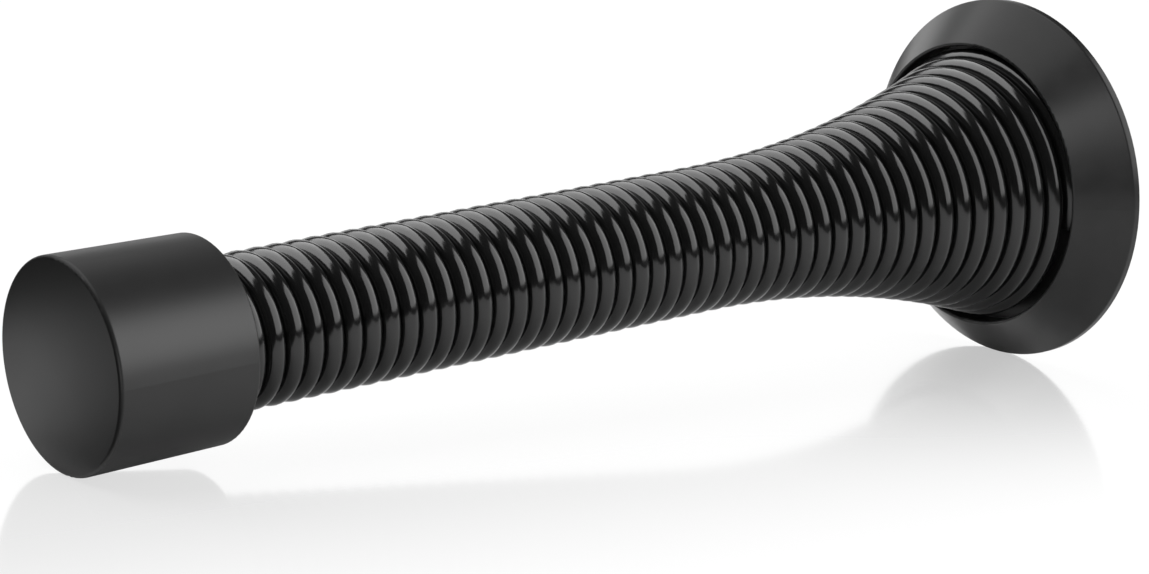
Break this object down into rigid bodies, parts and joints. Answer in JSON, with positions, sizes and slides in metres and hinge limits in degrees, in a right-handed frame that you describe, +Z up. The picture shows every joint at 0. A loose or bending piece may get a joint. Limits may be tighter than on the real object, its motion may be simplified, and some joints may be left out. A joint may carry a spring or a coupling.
{
  "type": "spring door stop",
  "caption": "Wall-mounted door stop: a close-wound steel spring with a flared foot in a round coned base, with a rubber tip pushed over its free end.",
  "frame": {"origin": "centre of the fixing hole in the plane of the base's back rim, on the wall", "axes": "+Y into the wall along the spring's axis, +Z up, the tip reaches towards -Y"},
  "size_m": [0.026, 0.08, 0.026],
  "materials": {
    "rubber": "moulded matt black rubber with a soft satin sheen",
    "spring_enamel": "gloss black enamel on steel wire",
    "base_enamel": "satin black enamel on a die-cast base"
  },
  "bodies": {
    "root": {"rubber_tip": "rubber", "spring": "spring_enamel", "base_flange": "base_enamel"}
  },
  "joints": []
}
